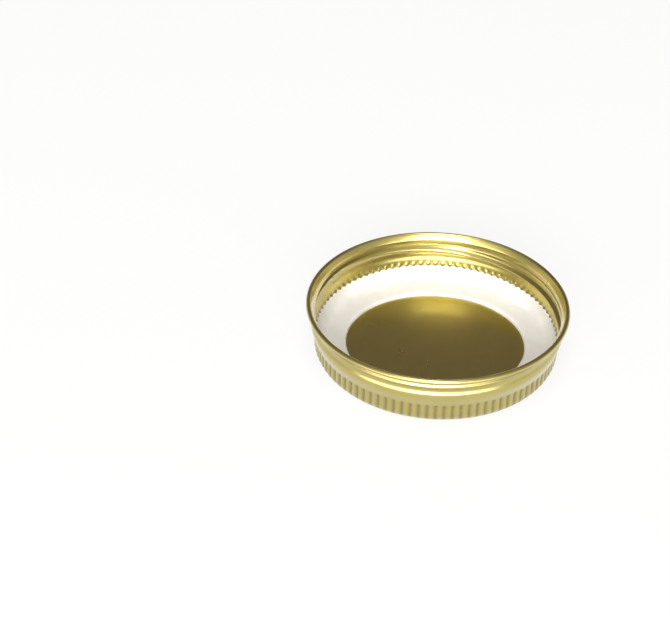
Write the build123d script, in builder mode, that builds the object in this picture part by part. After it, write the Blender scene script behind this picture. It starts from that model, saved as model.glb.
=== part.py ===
"""One-piece screw lid for a small jar, lying on its top panel with the opening up.

Everything is in millimetres and degrees. +Z is the lid's axis and points out of the opening.
z = 0 is the surface that the raised bead of the top panel rests on. Angles go round from +X to +Y.
"""
from build123d import *
from math import acos, asin, cos, degrees, radians, sin, sqrt, tan
import os

# Overall sizes
lid_height = 8.7
rim_radius = 20.1
sheet = 0.2

# Top panel: a flat disc, set back behind a raised bead
panel_recess = 0.4
step_radius = 0.8
bead_radius = 1.2
rest_width = 0.3
shoulder_radius = 1.6

# Knurled band next to the shoulder, as long as the height leaves room for
knurl_count = 96
knurl_depth = 0.2
knurl_margin = 0.1
flute_radius = 0.5

# Thread band: a little wider than the knurled band. It bulges out, has a waist and a small bead
# above that, and then runs straight up for the entry height
band_step = 0.3
crease_gap = 0.2
crease_radius = 0.25
bulge = 0.2
bulge_radius = 2.2
waist = 0.05
small_bead = 0.05
small_bead_radius = 0.4
entry_height = 1.0

# Rolled thread, one lead, right hand
thread_pitch = 4.23
thread_depth = 0.6
thread_crest_radius = 0.4
thread_flank_angle = 35.0
thread_clearance = 1.2
thread_first_angle = 10.0
thread_turn = 140.0
thread_fade = 40.0
thread_run_out = 0.2
thread_point_step = 10.0

# Rim, rolled outwards into a hollow bead
curl_width = 0.9
curl_flat = 0.3
curl_under_radius = 0.25
curl_under_angle = 140.0

# Sealing ring, poured into the corner of the shell
ring_width = 5.1
ring_thickness = 0.5
ring_edge_thickness = 0.05
ring_corner_radius = 1.6
ring_height = 3.1
ring_wall_thickness = 0.12

# Radii, heights and angles that follow from the sizes above
band_radius = rim_radius - curl_width
entry_radius = band_radius - sheet
knurl_radius = band_radius - band_step
curl_radius = (curl_width - sheet) / 2
curl_start = lid_height - sheet - curl_radius
step_angle = degrees(2 * asin(sqrt(panel_recess / (step_radius + bead_radius) / 2)))
bead_outer = knurl_radius - shoulder_radius
bead_inner = bead_outer - rest_width
panel_radius = bead_inner - (bead_radius + step_radius) * sin(radians(step_angle))
flute_root = knurl_radius - knurl_depth
bulge_turn = bulge_radius + crease_radius
bulge_low_angle = degrees(acos(1 - (band_step + bulge) / bulge_turn))
bulge_high_angle = degrees(acos(1 - (bulge + waist) / bulge_turn))
bulge_height = bulge_turn * (sin(radians(bulge_low_angle)) + sin(radians(bulge_high_angle)))
bead_turn = small_bead_radius + crease_radius
bead_low_angle = degrees(acos(1 - (small_bead + waist) / bead_turn))
bead_high_angle = degrees(acos(1 - small_bead / bead_turn))
bead_height = bead_turn * (sin(radians(bead_low_angle)) + sin(radians(bead_high_angle)))
knurl_bottom = shoulder_radius + knurl_margin
knurl_top = curl_start - entry_height - bead_height - bulge_height - crease_gap
knurl_length = knurl_top - knurl_bottom
thread_crest = entry_radius - thread_depth
thread_start = knurl_top + thread_clearance
ring_outer_radius = flute_root - sheet
ring_inner_radius = ring_outer_radius - ring_width


def panel_face(inset):
    """Draw one face of the sheet, from the lid's axis out to the top of its shoulder.

    An inset of 0 is the outside of the lid, and an inset of one sheet its inside. Returns the first
    point and the last line.
    """
    panel = Line((0, panel_recess + inset), (panel_radius, panel_recess + inset))
    step = JernArc(panel @ 1, panel % 1, step_radius + inset, -step_angle)
    bead = JernArc(step @ 1, step % 1, bead_radius - inset, step_angle)
    rest = Line(bead @ 1, (bead_outer, inset))
    shoulder = JernArc(rest @ 1, rest % 1, shoulder_radius - inset, 90)
    return panel @ 0, shoulder


def thread_face(shoulder, inset):
    """Draw the same face on, from the shoulder up to the curl. Returns its last line."""
    knurl_wall = Line(shoulder @ 1, (knurl_radius - inset, knurl_top + crease_gap))
    crease = JernArc(knurl_wall @ 1, knurl_wall % 1, crease_radius + inset, -bulge_low_angle)
    bulged = JernArc(crease @ 1, crease % 1, bulge_radius - inset, bulge_low_angle + bulge_high_angle)
    waisted = JernArc(bulged @ 1, bulged % 1, crease_radius + inset, -bulge_high_angle - bead_low_angle)
    beaded = JernArc(waisted @ 1, waisted % 1, small_bead_radius - inset, bead_low_angle + bead_high_angle)
    upper_crease = JernArc(beaded @ 1, beaded % 1, crease_radius + inset, -bead_high_angle)
    band = Line(upper_crease @ 1, (band_radius - inset, curl_start))
    return band


def wall_face(shoulder, inset):
    """Draw the same face from the shoulder up the wall and round the curl. Returns its end."""
    band = thread_face(shoulder, inset)
    curl_top = JernArc(band @ 1, band % 1, curl_radius + inset, -180)
    curl_side = Line(curl_top @ 1, curl_top @ 1 - (0, curl_flat))
    curl_under = JernArc(curl_side @ 1, curl_side % 1, curl_under_radius + inset, -curl_under_angle)
    return curl_under @ 1


def thread_point(angle, crest):
    """Point of the thread at an angle. Both ends of the thread swing out into the wall."""
    beyond = max(thread_first_angle - angle, angle - thread_first_angle - thread_turn, 0)
    share = beyond / thread_fade
    sink = share * share * (thread_depth + thread_run_out)
    radius = crest + sink
    height = thread_start + thread_pitch * (angle - thread_first_angle) / 360
    return radius * cos(radians(angle)), radius * sin(radians(angle)), height


def thread_body(inset):
    """Sweep the thread's rounded V. An inset of 0 is the ridge's inside face, and of one sheet the
    bottom of the groove behind it."""
    first = thread_first_angle - thread_fade
    span = thread_turn + 2 * thread_fade
    steps = round(span / thread_point_step)
    angles = [first + span * i / steps for i in range(steps + 1)]
    half_angle = radians(thread_flank_angle)
    nose_radius = thread_crest_radius - inset
    apex = thread_crest_radius - nose_radius / sin(half_angle)
    far = thread_depth + bulge + 2 * sheet
    half_width = (far - apex) * tan(half_angle)
    with BuildPart() as body:
        with BuildLine() as crest_line:
            Spline([thread_point(angle, thread_crest) for angle in angles])
        with BuildLine() as guide:
            Spline([thread_point(angle, thread_crest / 2) for angle in angles])
        outwards = (cos(radians(first)), sin(radians(first)), 0)
        start = Plane(crest_line.line @ 0, x_dir=outwards, z_dir=crest_line.line % 0)
        with BuildSketch(start) as rounded_v:
            with BuildLine():
                Polyline((apex, 0), (far, half_width), (far, -half_width), close=True)
            make_face()
            fillet(rounded_v.vertices().sort_by(Axis.X)[0], nose_radius)
        sweep(path=crest_line.line, binormal=guide.line.edge())
    return body.part


# The space inside the middle of the sheet trims the thread's ridge, so that only its nose shows
with BuildPart() as inside_space:
    with BuildSketch(Plane.XZ):
        with BuildLine():
            space_middle, space_shoulder = panel_face(sheet / 2)
            space_edge = thread_face(space_shoulder, sheet / 2) @ 1
            Polyline(space_edge, (0, space_edge.Y), space_middle)
        make_face()
    revolve(axis=Axis.Z)

with BuildPart() as thread_ridge:
    add(thread_body(0))
    add(inside_space.part, mode=Mode.INTERSECT)

# The groove behind it stops just outside the bulge, clear of the curl
with BuildPart() as thread_groove:
    add(thread_body(sheet))
    Cylinder(band_radius + bulge + sheet / 2, 2 * lid_height, mode=Mode.INTERSECT)

# Behind each flute pressed in from outside, the sheet stands up on the inside
with BuildPart() as knurl_ridges:
    with BuildSketch(Plane.XY.offset(knurl_bottom)):
        with PolarLocations(flute_root + flute_radius, knurl_count):
            Circle(flute_radius + sheet)
        Circle(knurl_radius - sheet / 2, mode=Mode.INTERSECT)
    extrude(amount=knurl_length)

with BuildPart() as flutes:
    with BuildSketch(Plane.XY.offset(knurl_bottom)):
        with PolarLocations(flute_root + flute_radius, knurl_count):
            Circle(flute_radius)
    extrude(amount=knurl_length)

with BuildPart() as lid_shell:
    with BuildSketch(Plane.XZ):
        with BuildLine():
            outside_middle, outside_shoulder = panel_face(0)
            outside_edge = wall_face(outside_shoulder, 0)
            inside_middle, inside_shoulder = panel_face(sheet)
            inside_edge = wall_face(inside_shoulder, sheet)
            Line(outside_middle, inside_middle)
            Line(outside_edge, inside_edge)
        make_face()
    revolve(axis=Axis.Z)
    add(thread_ridge.part)
    add(thread_groove.part, mode=Mode.SUBTRACT)
    add(knurl_ridges.part)
    add(flutes.part, mode=Mode.SUBTRACT)

with BuildPart() as sealing_ring:
    with BuildSketch(Plane.XZ) as ring_section:
        ring_top = panel_recess + sheet + ring_thickness
        ring_wall = ring_outer_radius - ring_wall_thickness
        with BuildLine():
            middle, shoulder = panel_face(sheet)
            wall = Line(shoulder @ 1, (knurl_radius - sheet, ring_height))
            Polyline(wall @ 1, (ring_wall, ring_height), (ring_wall, ring_top), (0, ring_top), middle)
        make_face()
        with Locations((ring_inner_radius, 0)):
            Rectangle(ring_outer_radius - ring_inner_radius, ring_height,
                      align=(Align.MIN, Align.MIN), mode=Mode.INTERSECT)
        top_corners = [corner for corner in ring_section.vertices() if abs(corner.Y - ring_top) < 1e-6]
        inner_corner, wall_corner = sorted(top_corners, key=lambda corner: corner.X)
        fillet(inner_corner, ring_thickness - ring_edge_thickness)
        fillet(wall_corner, ring_corner_radius)
    revolve(axis=Axis.Z)

os.makedirs("parts", exist_ok=True)
lid_shell.part.label = "lid_shell"
export_step(lid_shell.part, "parts/lid_shell.step")
sealing_ring.part.label = "sealing_ring"
export_step(sealing_ring.part, "parts/sealing_ring.step")
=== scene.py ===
"""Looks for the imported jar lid: gold-lacquered sheet metal, a white sealing ring, a white table and lamps.

Lengths are in metres, in the frame's own axes: +Z is the lid's axis and points out of its opening.
"""

import math

import bpy
import numpy as np
from mathutils import Matrix, Vector


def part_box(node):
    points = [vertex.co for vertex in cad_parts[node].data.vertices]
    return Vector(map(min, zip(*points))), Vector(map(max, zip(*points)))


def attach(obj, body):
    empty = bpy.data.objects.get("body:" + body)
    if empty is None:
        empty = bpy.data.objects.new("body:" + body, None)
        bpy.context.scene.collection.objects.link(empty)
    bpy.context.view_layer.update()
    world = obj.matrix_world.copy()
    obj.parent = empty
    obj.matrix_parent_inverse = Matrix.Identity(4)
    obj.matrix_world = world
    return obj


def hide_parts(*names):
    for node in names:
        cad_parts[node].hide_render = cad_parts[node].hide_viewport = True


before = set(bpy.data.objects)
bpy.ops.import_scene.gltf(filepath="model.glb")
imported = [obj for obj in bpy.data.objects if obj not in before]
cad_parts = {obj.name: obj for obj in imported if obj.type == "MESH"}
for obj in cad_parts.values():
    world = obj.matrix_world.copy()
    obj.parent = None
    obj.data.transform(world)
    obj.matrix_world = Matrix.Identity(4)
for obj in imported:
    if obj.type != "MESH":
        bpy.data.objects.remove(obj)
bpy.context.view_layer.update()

mm = 0.001

# Overall sizes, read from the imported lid
shell_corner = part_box("lid_shell")[1]
rim_radius = shell_corner[0]
lid_height = shell_corner[2]

# Sheet and top panel
sheet = 0.2 * mm
panel_recess = 0.4 * mm
step_radius = 0.8 * mm
bead_radius = 1.2 * mm
rest_width = 0.3 * mm
shoulder_radius = 1.6 * mm

# Knurled band
band_step = 0.3 * mm
knurl_count = 96
knurl_depth = 0.2 * mm
knurl_low = 0.4 * mm
knurl_high = 3.1 * mm
knurl_ramp = 0.5 * mm
groove_share = 0.24

# Thread band: how far each turn of the wall stands out, and its height
knurl_end = 2.9 * mm
bulge = 0.2 * mm
bulge_height = 5.3 * mm
waist = 0.1 * mm
waist_height = 6.4 * mm
small_bead = 0.1 * mm
small_bead_height = 6.85 * mm
neck_height = 7.4 * mm

# Rolled thread
thread_pitch = 4.23 * mm
thread_depth = 0.6 * mm
thread_width = 1.5 * mm
thread_low = 5.0 * mm
thread_first_angle = 10
thread_turn = 140
thread_fade = 40

# Curled rim: the wall flares out and rolls over
curl_width = 0.9 * mm
curl_radius = 0.4 * mm
curl_turn = 280
flare_angle = 28
flare_radius = 0.8 * mm

# Sealing ring: its inner edge, its flat face, the rounded corner and the film up the wall
ring_width = 5.1 * mm
ring_thickness = 0.5 * mm
ring_edge_radius = 0.45 * mm
ring_corner_radius = 1.7 * mm
ring_film = 0.23 * mm
ring_film_lean = 1.2 * ring_film
ring_film_fade = 0.2 * mm
ring_oval = 0.5 * mm

# The ring's surface is a little wavy: its height, and for each wave how many go round and where it starts
ring_waviness = 0.04 * mm
ring_waves = ((2, 0.4), (5, 1.9), (9, 4.2))

# Radii and heights that follow
band_radius = rim_radius - curl_width
knurl_radius = band_radius - band_step
shoulder_edge = knurl_radius - shoulder_radius
ring_inner_radius = knurl_radius - sheet - knurl_depth - ring_width
panel_middle = panel_recess + sheet / 2
ring_top = panel_recess + sheet + ring_thickness

# Steps round the lid: fine where the knurl is, coarse elsewhere
fine_steps = knurl_count * 8
coarse_steps = fine_steps // 2

# Camera, as it stood for the photograph: metres, degrees and the picture's own pixels
image_width = 670
focal_pixels = 1200
camera_elevation = 35.24
camera_roll = 0.173
camera_distance = 188.3 * mm
object_right = 15.62 * mm
object_up = -5.25 * mm

# Gold varnish: its colour, where it is thicker, its specks, and the painted shade that darkens the knurl's
# grooves
gold = (0.52, 0.44, 0.135, 1)
deep_gold = (0.49, 0.41, 0.12, 1)
speck_gold = (0.25, 0.2, 0.06, 1)
painted_groove_shade = (0.1, 0.075, 0.02, 1)
gold_cloud_size = 4 * mm
gold_grain_size = 0.2 * mm
gold_grain_depth = 0.0004 * mm
speck_size = 0.12 * mm
speck_strength = 0.2
groove_shade_strength = 0.65

# How rough the metal is, from cloud to cloud, how much rougher in the knurl, and the varnish over it
gold_roughness = (0.27, 0.31)
groove_roughness = 0.3
varnish_roughness = 0.12

# Sealing compound
warm_white = (0.88, 0.87, 0.845, 1)
dull_white = (0.83, 0.815, 0.78, 1)
white_cloud_size = 2.5 * mm
peel_size = 0.4 * mm
peel_depth = 0.01 * mm
peel_roughness = (0.34, 0.46)
white_gloss = 0.1
white_gloss_roughness = 0.3

# Table
paper_white = (0.85, 0.85, 0.85, 1)
table_half_width = 10
table_glow = 0.8

# The room's walls: in front of the lid, behind it, and low down all round. They change where a direction
# points so far back or up, on a scale where 1 is straight back or straight up
light_wall = (0.55, 0.52, 0.46, 1)
dark_wall = (0.19, 0.16, 0.14, 1)
pale_wall = (0.85, 0.84, 0.82, 1)
dark_to_light = (0.3, -0.4)
wall_to_pale = (0.3, 0.12)

# Lamps: the direction that each is seen in from the lid, in degrees, its width and height, and its watts
lamp_distance = 0.9
lamps = {
    "ceiling_lamp": (255, 78, 0.45, 0.9, 3.8),
    "window": (260, 13, 2.8, 0.32, 9.5),
    "front_lamp": (263, 22, 0.8, 0.24, 6),
}


class Outline:
    """A line drawn from point to point in the lid's section, with its outward side on its right."""

    def __init__(self, radius, height, heading):
        self.points = [(radius, height)]
        self.headings = [math.radians(heading)]

    def line(self, length, steps=1):
        """Go straight on."""
        for _ in range(steps):
            radius, height = self.points[-1]
            heading = self.headings[-1]
            self.points.append((radius + length / steps * math.cos(heading),
                                height + length / steps * math.sin(heading)))
            self.headings.append(heading)

    def arc(self, arc_radius, turn, steps):
        """Turn left by so many degrees, or right if they are below zero."""
        step = math.radians(turn) / steps
        chord = 2 * arc_radius * math.sin(abs(step) / 2)
        for _ in range(steps):
            radius, height = self.points[-1]
            heading = self.headings[-1] + step / 2
            self.points.append((radius + chord * math.cos(heading), height + chord * math.sin(heading)))
            self.headings.append(self.headings[-1] + step)

    def climb_to(self, height, steps):
        """Go straight on up to a height."""
        self.line((height - self.points[-1][1]) / math.sin(self.headings[-1]), steps)

    def swing_to(self, radius, height, steps):
        """Climb to a point in an even S: one arc, and the same arc turned the other way."""
        rise = radius - self.points[-1][0]
        climb = height - self.points[-1][1]
        turn = math.degrees(2 * math.atan(rise / climb))
        arc_radius = (rise * rise + climb * climb) / abs(4 * rise)
        self.arc(arc_radius, -turn, steps)
        self.arc(arc_radius, turn, steps)

    def rings(self, inset):
        """Radii and heights of a line that runs alongside, so far to the left."""
        points = np.array(self.points)
        headings = np.array(self.headings)
        return points + inset * np.stack([-np.sin(headings), np.cos(headings)], axis=1)


def outer_outline():
    """The shell's outer face, from the edge of the flat panel to the end of the curl."""
    step_turn = math.degrees(math.acos(1 - panel_recess / (step_radius + bead_radius)))
    bead_reach = (step_radius + bead_radius) * math.sin(math.radians(step_turn))
    outline = Outline(shoulder_edge - rest_width - bead_reach, panel_recess, 0)
    outline.arc(step_radius, -step_turn, steps=5)
    outline.arc(bead_radius, step_turn, steps=6)
    outline.line(rest_width)
    outline.arc(shoulder_radius, 90, steps=12)
    outline.climb_to(knurl_end, steps=6)
    outline.swing_to(band_radius + bulge, bulge_height, steps=6)
    outline.swing_to(band_radius - waist, waist_height, steps=6)
    outline.swing_to(band_radius + small_bead, small_bead_height, steps=3)

    # The neck's radius is what the flare and the curl leave of the rim's
    flare = math.radians(flare_angle)
    roll = curl_radius - sheet
    curl_start = lid_height - curl_radius + roll * math.sin(flare)
    straight = (curl_start - neck_height - flare_radius * math.sin(flare)) / math.cos(flare)
    flare_reach = flare_radius * (1 - math.cos(flare)) + straight * math.sin(flare)
    neck_radius = rim_radius - curl_radius - roll * math.cos(flare) - flare_reach
    outline.swing_to(neck_radius, neck_height, steps=4)
    outline.arc(flare_radius, -flare_angle, steps=4)
    outline.line(straight, steps=2)
    outline.arc(roll, -curl_turn, steps=28)
    return outline


def angles(steps):
    """Even steps round the lid, in radians."""
    return np.arange(steps) * 2 * math.pi / steps


def smooth_step(x):
    """Rise gently from 0 to 1 as x does."""
    x = np.clip(x, 0, 1)
    return x * x * (3 - 2 * x)


def knurl_dent(angle, height):
    """How far the wall is pressed in by the knurl's narrow grooves."""
    across = np.mod(angle * knurl_count / (2 * math.pi) + 0.5, 1) - 0.5
    along = (smooth_step((height - knurl_low) / knurl_ramp)
             * smooth_step((knurl_high + knurl_ramp - height) / knurl_ramp))
    return knurl_depth * along * np.exp(-(across / groove_share) ** 2)


def thread_dent(angle, radius, height):
    """How far a wall of this radius is pressed in by the rolled thread. Its crest is one even helix."""
    first = math.radians(thread_first_angle)
    turn = math.radians(thread_turn)
    fade = math.radians(thread_fade)
    past_first = np.mod(angle - first + math.pi / 2, 2 * math.pi) - math.pi / 2
    beyond = np.clip(np.maximum(-past_first, past_first - turn) / fade, 0, 1)
    share = 1 - beyond * beyond
    centre = thread_low + thread_pitch * past_first / (2 * math.pi)
    off = np.clip((height - centre) / thread_width, -0.5, 0.5)
    return max(radius - band_radius + thread_depth, 0) * share * np.cos(math.pi * off) ** 2


class Skin:
    """A closed skin made of rings of points round the lid's axis."""

    def __init__(self):
        self.points = []
        self.faces = []
        self.groove = []
        self.first = None
        self.last = None

    def ring(self, radii, heights, groove=0):
        """Add a ring of points, with a radius for each of them, and join it to the last ring."""
        steps = len(radii)
        angle = angles(steps)
        start = len(self.points)
        self.points += zip(radii * np.cos(angle), radii * np.sin(angle), np.zeros(steps) + heights)
        self.groove += list(np.zeros(steps) + groove)
        here = (start, steps)
        if self.last:
            self.join(self.last, here)
        self.first = self.first or here
        self.last = here

    def join(self, low, high):
        """Join two rings that have as many points, or one twice as many as the other."""
        (a, many_a), (b, many_b) = low, high
        if many_a == many_b:
            for i in range(many_a):
                j = (i + 1) % many_a
                self.faces.append((a + i, a + j, b + j, b + i))
        elif many_a < many_b:
            for i in range(many_a):
                j = (i + 1) % many_a
                self.faces.append((a + i, b + 2 * i + 1, b + 2 * i))
                self.faces.append((a + i, a + j, b + 2 * i + 1))
                self.faces.append((a + j, b + 2 * j, b + 2 * i + 1))
        else:
            for i in range(many_b):
                j = (i + 1) % many_b
                self.faces.append((a + 2 * i, a + 2 * i + 1, b + i))
                self.faces.append((a + 2 * i + 1, b + j, b + i))
                self.faces.append((a + 2 * i + 1, a + 2 * j, b + j))

    def cap(self, ring, facing_up):
        """Close a ring with one flat face."""
        start, steps = ring
        rim = list(range(start, start + steps))
        self.faces.append(rim if facing_up else rim[::-1])

    def build(self, name, material):
        """Make the piece, smooth but for its caps, with the depth in the grooves kept for the material."""
        mesh = bpy.data.meshes.new(name)
        mesh.from_pydata([tuple(map(float, point)) for point in self.points], [], self.faces)
        mesh.polygons.foreach_set("use_smooth", [len(face) < 5 for face in self.faces])
        groove = mesh.attributes.new("groove", "FLOAT", "POINT")
        groove.data.foreach_set("value", self.groove)
        mesh.materials.append(material)
        piece = bpy.data.objects.new(name, mesh)
        bpy.context.scene.collection.objects.link(piece)
        return piece


def make_shell(material):
    """The whole lid in sheet metal: out along its outer face to the curl's end, and back inside."""
    outline = outer_outline()
    outer = outline.rings(0)
    inner = outline.rings(sheet)
    skin = Skin()
    for line, wall in ((outer, outer), (inner[::-1], outer[::-1])):
        for (radius, height), (wall_radius, wall_height) in zip(line, wall):
            on_knurl = knurl_low < wall_height < knurl_high + knurl_ramp
            angle = angles(fine_steps if on_knurl else coarse_steps)
            knurl = knurl_dent(angle, wall_height)
            thread = thread_dent(angle, wall_radius, wall_height)
            skin.ring(radius - knurl - thread, height, knurl / knurl_depth)
    skin.cap(skin.first, False)
    skin.cap(skin.last, True)
    return skin.build("lid_skin", material)


def ring_outline():
    """The compound's free face: its inner edge, the flat, the corner, and the film up the wall."""
    film_radius = knurl_radius - sheet - ring_film
    film_height = ring_top + ring_corner_radius
    outline = Outline(ring_inner_radius, ring_top - ring_edge_radius, 90)
    outline.arc(ring_edge_radius, -90, steps=5)
    outline.line(film_radius - ring_corner_radius - ring_edge_radius - ring_inner_radius, steps=6)
    outline.arc(ring_corner_radius, 90, steps=12)
    film = [(film_radius + ring_film_lean * share * share, film_height + ring_film_fade * share)
            for share in (0.2, 0.4, 0.6, 0.8, 1)]
    return outline.points + film


def make_ring(material):
    """The sealing compound: a poured ring, a little wavy and oval inside, thinning out on the knurled wall.

    It reaches into the middle of the sheet, and the knurl's ribs stand out where its film is thin.
    """
    skin = Skin()
    angle = angles(fine_steps)
    oval = ring_oval * np.cos(2 * angle)
    wave = sum(np.sin(angle * count + start) for count, start in ring_waves) / len(ring_waves)
    points = ring_outline()
    film_end = points[-1][1]
    in_wall = knurl_radius - sheet / 2 - knurl_dent(angle, film_end)
    skin.ring(ring_inner_radius + oval, panel_middle)
    skin.ring(np.full(coarse_steps, shoulder_edge), panel_middle - panel_recess / 2)
    skin.ring(in_wall, shoulder_radius)
    skin.ring(in_wall, film_end)
    flat_width = ring_width - ring_corner_radius
    for radius, height in points[::-1]:
        in_wall = knurl_radius - sheet / 2 - knurl_dent(angle, height)
        freedom = smooth_step((ring_inner_radius + flat_width - radius) / flat_width)
        skin.ring(np.minimum(radius + freedom * oval, in_wall), height + ring_waviness * wave)
    skin.join(skin.last, skin.first)
    return skin.build("ring_compound", material)


def place_camera():
    """Look down on the lid from the front with a long lens."""
    elevation = math.radians(camera_elevation)
    roll = math.radians(camera_roll)
    forward = Vector((0, math.cos(elevation), -math.sin(elevation)))
    level_right = Vector((1, 0, 0))
    level_up = level_right.cross(forward)
    right = level_right * math.cos(roll) + level_up * math.sin(roll)
    up = level_up * math.cos(roll) - level_right * math.sin(roll)
    eye = -right * object_right - up * object_up - forward * camera_distance
    lens = bpy.data.cameras.new("camera")
    lens.sensor_width = 36
    lens.lens = focal_pixels * lens.sensor_width / image_width
    lens.clip_start = 0.01
    camera = bpy.data.objects.new("camera", lens)
    camera.matrix_world = Matrix.Translation(eye) @ Matrix((right, up, -forward)).transposed().to_4x4()
    bpy.context.scene.collection.objects.link(camera)
    bpy.context.scene.camera = camera


class NodeKit:
    """Adds nodes to a tree. What goes into a node is a plain value, or what comes out of another one."""

    def __init__(self, tree):
        self.tree = tree

    def add(self, kind, inputs=None, output=0, **settings):
        """Add a node with these inputs and settings, and return one of its outputs."""
        node = self.tree.nodes.new("ShaderNode" + kind)
        for name, value in settings.items():
            setattr(node, name, value)
        for name, value in (inputs or {}).items():
            if isinstance(value, bpy.types.NodeSocket):
                self.tree.links.new(value, node.inputs[name])
            else:
                node.inputs[name].default_value = value
        return node.outputs[output] if node.outputs else None

    def noise(self, grain, detail):
        """Noise over the piece's own place, with spots of about one grain across."""
        place = self.add("TexCoord", output="Object")
        scaled = self.add("Mapping", {"Vector": place, "Scale": (1 / grain, 1 / grain, 1 / grain)})
        return self.add("TexNoise", {"Vector": scaled, "Scale": 1, "Detail": detail}, "Fac")

    def remap(self, value, low, high, to_low, to_high):
        """Turn low to high into to_low to to_high, and hold it there beyond them."""
        return self.add("MapRange", {"Value": value, "From Min": low, "From Max": high,
                                     "To Min": to_low, "To Max": to_high})

    def combine(self, operation, first, second):
        return self.add("Math", {0: first, 1: second}, operation=operation, use_clamp=True)

    def tint(self, share, first, second):
        """Mix two colours."""
        return self.add("Mix", {"Factor": share, 6: first, 7: second}, 2, data_type="RGBA")

    def relief(self, height, depth):
        return self.add("Bump", {"Height": height, "Distance": depth})


def new_material(name):
    material = bpy.data.materials.new(name)
    material.use_nodes = True
    material.node_tree.nodes.clear()
    return material, NodeKit(material.node_tree)


def gold_lacquer():
    """Tinplate under a gold varnish: cloudy, with a fine grain, specks, and painted shade in the knurl's
    grooves.
    """
    material, kit = new_material("gold_lacquer")
    clouds = kit.noise(gold_cloud_size, detail=3)
    grain = kit.noise(gold_grain_size, detail=2)
    specks = kit.noise(speck_size, detail=1)
    groove = kit.add("Attribute", output="Fac", attribute_name="groove")
    varnish = kit.tint(kit.remap(clouds, 0.35, 0.65, 0, 1), gold, deep_gold)
    speckled = kit.tint(kit.remap(specks, 0.6, 0.75, 0, speck_strength), varnish, speck_gold)
    # Painted shade: the colour darkens where the knurl's grooves are deepest
    colour = kit.tint(kit.remap(groove, 0, 1, 0, groove_shade_strength), speckled, painted_groove_shade)
    cloudy_roughness = kit.remap(clouds, 0.3, 0.7, *gold_roughness)
    roughness = kit.combine("ADD", cloudy_roughness, kit.remap(groove, 0, 1, 0, groove_roughness))
    surface = kit.add("BsdfPrincipled", {
        "Base Color": colour, "Metallic": 1, "Roughness": roughness, "Coat Weight": 1,
        "Coat Roughness": varnish_roughness, "Normal": kit.relief(grain, gold_grain_depth)})
    kit.add("OutputMaterial", {"Surface": surface})
    return material


def white_compound():
    """Poured sealing compound: warm white, a little mottled, with a soft gloss and a faint orange peel."""
    material, kit = new_material("white_compound")
    clouds = kit.noise(white_cloud_size, detail=3)
    peel = kit.noise(peel_size, detail=2)
    surface = kit.add("BsdfPrincipled", {
        "Base Color": kit.tint(kit.remap(clouds, 0.35, 0.65, 0, 1), warm_white, dull_white),
        "Metallic": 0, "Roughness": kit.remap(peel, 0.3, 0.7, *peel_roughness), "Coat Weight": white_gloss,
        "Coat Roughness": white_gloss_roughness, "Normal": kit.relief(peel, peel_depth)})
    kit.add("OutputMaterial", {"Surface": surface})
    return material


def white_table():
    """White paper that glows for the camera and the metal, and keeps the lid's shadow."""
    material, kit = new_material("white_table")
    camera_ray = kit.add("LightPath", output="Is Camera Ray")
    glossy_ray = kit.add("LightPath", output="Is Glossy Ray")
    clear_ray = kit.add("LightPath", output="Is Transmission Ray")
    seen = kit.combine("ADD", kit.combine("ADD", camera_ray, glossy_ray), clear_ray)
    paper = kit.add("BsdfDiffuse", {"Color": paper_white})
    glow = kit.add("Emission", {"Strength": 1})
    share = kit.combine("MULTIPLY", seen, table_glow)
    kit.add("OutputMaterial", {"Surface": kit.add("MixShader", {"Fac": share, 1: paper, 2: glow})})
    return material


def make_table():
    """The sheet that the lid lies on, reaching past what the camera sees."""
    corners = [(x * table_half_width, y * table_half_width, 0)
               for x, y in ((-1, -1), (1, -1), (1, 1), (-1, 1))]
    mesh = bpy.data.meshes.new("table_top")
    mesh.from_pydata(corners, [], [(0, 1, 2, 3)])
    mesh.materials.append(white_table())
    table = bpy.data.objects.new("table_top", mesh)
    bpy.context.scene.collection.objects.link(table)


def add_lamp(name, azimuth, elevation, width, height, watts):
    """An oval lamp that faces the lid."""
    data = bpy.data.lights.new(name, "AREA")
    data.shape = "ELLIPSE"
    data.size = width
    data.size_y = height
    data.energy = watts
    turn = math.radians(azimuth)
    rise = math.radians(elevation)
    away = Vector((math.cos(turn) * math.cos(rise), math.sin(turn) * math.cos(rise), math.sin(rise)))
    lamp = bpy.data.objects.new(name, data)
    lamp.location = away * lamp_distance
    lamp.rotation_euler = away.to_track_quat("Z", "Y").to_euler()
    bpy.context.scene.collection.objects.link(lamp)


def light_room():
    """A room that is light in front of the lid, dark behind it and pale low down, and its lamps."""
    world = bpy.data.worlds.new("room")
    world.use_nodes = True
    kit = NodeKit(world.node_tree)
    world.node_tree.nodes.clear()
    direction = kit.add("TexCoord", output="Generated")
    backwards = kit.add("SeparateXYZ", {"Vector": direction}, "Y")
    upwards = kit.add("SeparateXYZ", {"Vector": direction}, "Z")
    walls = kit.tint(kit.remap(backwards, *dark_to_light, 0, 1), dark_wall, light_wall)
    room = kit.tint(kit.remap(upwards, *wall_to_pale, 0, 1), walls, pale_wall)
    kit.add("OutputWorld", {"Surface": kit.add("Background", {"Color": room, "Strength": 1})})
    bpy.context.scene.world = world
    for name, values in lamps.items():
        add_lamp(name, *values)
    bpy.context.scene.view_settings.view_transform = "Standard"


shell = make_shell(gold_lacquer())
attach(shell, "root")
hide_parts("lid_shell")

ring = make_ring(white_compound())
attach(ring, "root")
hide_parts("sealing_ring")

make_table()
light_room()
place_camera()
